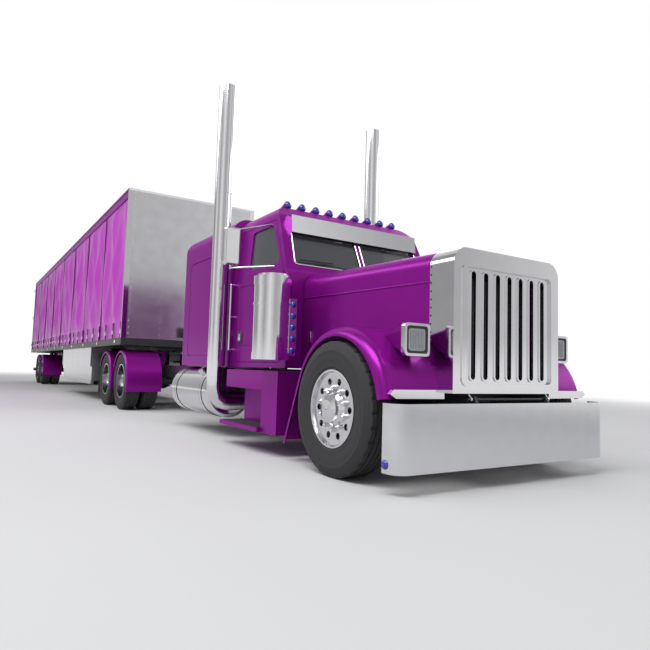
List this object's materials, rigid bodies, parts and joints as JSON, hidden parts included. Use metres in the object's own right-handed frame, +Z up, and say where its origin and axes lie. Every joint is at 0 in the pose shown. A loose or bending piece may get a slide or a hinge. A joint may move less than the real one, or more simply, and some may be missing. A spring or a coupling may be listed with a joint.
{
  "type": "articulated lorry",
  "caption": "Long-nosed sleeper tractor coupled to a curtain-sided semi-trailer, with turning wheels, steering, tilting hood, opening doors and a fifth-wheel pivot.",
  "frame": {"origin": "on the ground under the middle of the whole length and width", "axes": "+X forward, +Y to the driver's left, +Z up"},
  "size_m": [23.984, 2.96, 4.3],
  "materials": {
    "tyre": "matte rubber",
    "polished_wheel": "polished",
    "paint": "glossy magenta-purple paint",
    "chrome": "bright chrome",
    "chassis_black": "satin black",
    "engine_grey": "cast",
    "glass": "dark tinted",
    "lens": "clear lens",
    "blue_lens": "clear blue",
    "seat_cloth": "woven",
    "trim": "grained",
    "floor_wood": "planked",
    "panel_grey": "satin",
    "roof_white": "satin white",
    "curtain_cloth": "coated cloth",
    "rail_lens": "clear"
  },
  "bodies": {
    "tractor": {"frame": "chassis_black", "front_axle": "chassis_black", "drive_axles": "chassis_black", "engine": "engine_grey", "radiator": "engine_grey", "bumper": "chrome", "cab": "paint", "windscreen": "glass", "sleeper": "paint", "marker_lamps": "blue_lens", "visor": "chrome", "air_cleaners": "chrome", "stacks": "chrome", "fuel_tanks": "chrome", "step_boxes": "paint", "drive_fenders": "paint", "fifth_wheel": "chassis_black", "seats": "seat_cloth", "dashboard": "trim"},
    "hood_unit": {"hood": "paint", "fenders": "paint", "grille_shell": "chrome", "grille": "chrome", "headlamps": "chrome", "headlamp_lenses": "lens"},
    "left_door": {"cab_door_left": "paint", "door_glass_left": "glass", "mirror_left": "chrome"},
    "right_door": {"cab_door_right": "paint", "door_glass_right": "glass", "mirror_right": "chrome"},
    "left_steer": {"knuckle_left": "chassis_black"},
    "right_steer": {"knuckle_right": "chassis_black"},
    "front_left": {"front_tyre_left": "tyre", "front_wheel_left": "polished_wheel"},
    "front_right": {"front_tyre_right": "tyre", "front_wheel_right": "polished_wheel"},
    "drive_front_left": {"drive_wheels_front_left": "tyre"},
    "drive_front_right": {"drive_wheels_front_right": "tyre"},
    "drive_rear_left": {"drive_wheels_rear_left": "tyre"},
    "drive_rear_right": {"drive_wheels_rear_right": "tyre"},
    "trailer": {"trailer_deck": "chassis_black", "trailer_floor": "floor_wood", "bulkhead": "panel_grey", "trailer_posts": "chrome", "trailer_roof": "roof_white", "curtains": "curtain_cloth", "trailer_axles": "chassis_black", "trailer_fenders": "paint", "landing_gear": "chassis_black", "side_boxes": "panel_grey", "underride_guard": "chassis_black", "trailer_lamps": "rail_lens"},
    "trailer_front_left": {"trailer_wheels_front_left": "tyre"},
    "trailer_front_right": {"trailer_wheels_front_right": "tyre"},
    "trailer_rear_left": {"trailer_wheels_rear_left": "tyre"},
    "trailer_rear_right": {"trailer_wheels_rear_right": "tyre"},
    "left_rear_door": {"rear_door_left": "roof_white"},
    "right_rear_door": {"rear_door_right": "roof_white"}
  },
  "joints": [
    {"name": "hood_tilt", "type": "hinge", "parent": "tractor", "child": "hood_unit", "pos_m": [11.932, 0, 0.655], "axis": [0, 1, 0], "range_deg": [0, 70]},
    {"name": "left_door_hinge", "type": "hinge", "parent": "tractor", "child": "left_door", "pos_m": [9.895, 0.985, 1.4], "axis": [0, 0, -1], "range_deg": [0, 65]},
    {"name": "left_steering", "type": "hinge", "parent": "tractor", "child": "left_steer", "pos_m": [11.142, 0.88, 0.54], "axis": [0, 0, 1], "range_deg": [-35, 35]},
    {"name": "front_left_spin", "type": "hinge", "parent": "left_steer", "child": "front_left", "pos_m": [11.142, 1.055, 0.54], "axis": [0, 1, 0], "continuous": true},
    {"name": "right_door_hinge", "type": "hinge", "parent": "tractor", "child": "right_door", "pos_m": [9.895, -0.985, 1.4], "axis": [0, 0, 1], "range_deg": [0, 65]},
    {"name": "right_steering", "type": "hinge", "parent": "tractor", "child": "right_steer", "pos_m": [11.142, -0.88, 0.54], "axis": [0, 0, 1], "range_deg": [-35, 35]},
    {"name": "front_right_spin", "type": "hinge", "parent": "right_steer", "child": "front_right", "pos_m": [11.142, -1.055, 0.54], "axis": [0, 1, 0], "continuous": true},
    {"name": "drive_front_left_spin", "type": "hinge", "parent": "tractor", "child": "drive_front_left", "pos_m": [3.942, 0.892, 0.525], "axis": [0, 1, 0], "continuous": true},
    {"name": "drive_front_right_spin", "type": "hinge", "parent": "tractor", "child": "drive_front_right", "pos_m": [3.942, -0.892, 0.525], "axis": [0, 1, 0], "continuous": true},
    {"name": "drive_rear_left_spin", "type": "hinge", "parent": "tractor", "child": "drive_rear_left", "pos_m": [2.632, 0.892, 0.525], "axis": [0, 1, 0], "continuous": true},
    {"name": "drive_rear_right_spin", "type": "hinge", "parent": "tractor", "child": "drive_rear_right", "pos_m": [2.632, -0.892, 0.525], "axis": [0, 1, 0], "continuous": true},
    {"name": "fifth_wheel_pivot", "type": "hinge", "parent": "tractor", "child": "trailer", "pos_m": [3.312, 0, 1.18], "axis": [0, 0, 1], "range_deg": [-90, 90]},
    {"name": "trailer_front_left_spin", "type": "hinge", "parent": "trailer", "child": "trailer_front_left", "pos_m": [-8.618, 0.892, 0.525], "axis": [0, 1, 0], "continuous": true},
    {"name": "trailer_front_right_spin", "type": "hinge", "parent": "trailer", "child": "trailer_front_right", "pos_m": [-8.618, -0.892, 0.525], "axis": [0, 1, 0], "continuous": true},
    {"name": "trailer_rear_left_spin", "type": "hinge", "parent": "trailer", "child": "trailer_rear_left", "pos_m": [-9.858, 0.892, 0.525], "axis": [0, 1, 0], "continuous": true},
    {"name": "trailer_rear_right_spin", "type": "hinge", "parent": "trailer", "child": "trailer_rear_right", "pos_m": [-9.858, -0.892, 0.525], "axis": [0, 1, 0], "continuous": true},
    {"name": "left_rear_door_hinge", "type": "hinge", "parent": "trailer", "child": "left_rear_door", "pos_m": [-11.962, 1.293, 2.65], "axis": [0, 0, -1], "range_deg": [0, 255]},
    {"name": "right_rear_door_hinge", "type": "hinge", "parent": "trailer", "child": "right_rear_door", "pos_m": [-11.962, -1.293, 2.65], "axis": [0, 0, 1], "range_deg": [0, 255]}
  ],
  "couplings": [
    {"joint": "right_steering", "follows": "left_steering", "ratio": 1}
  ]
}
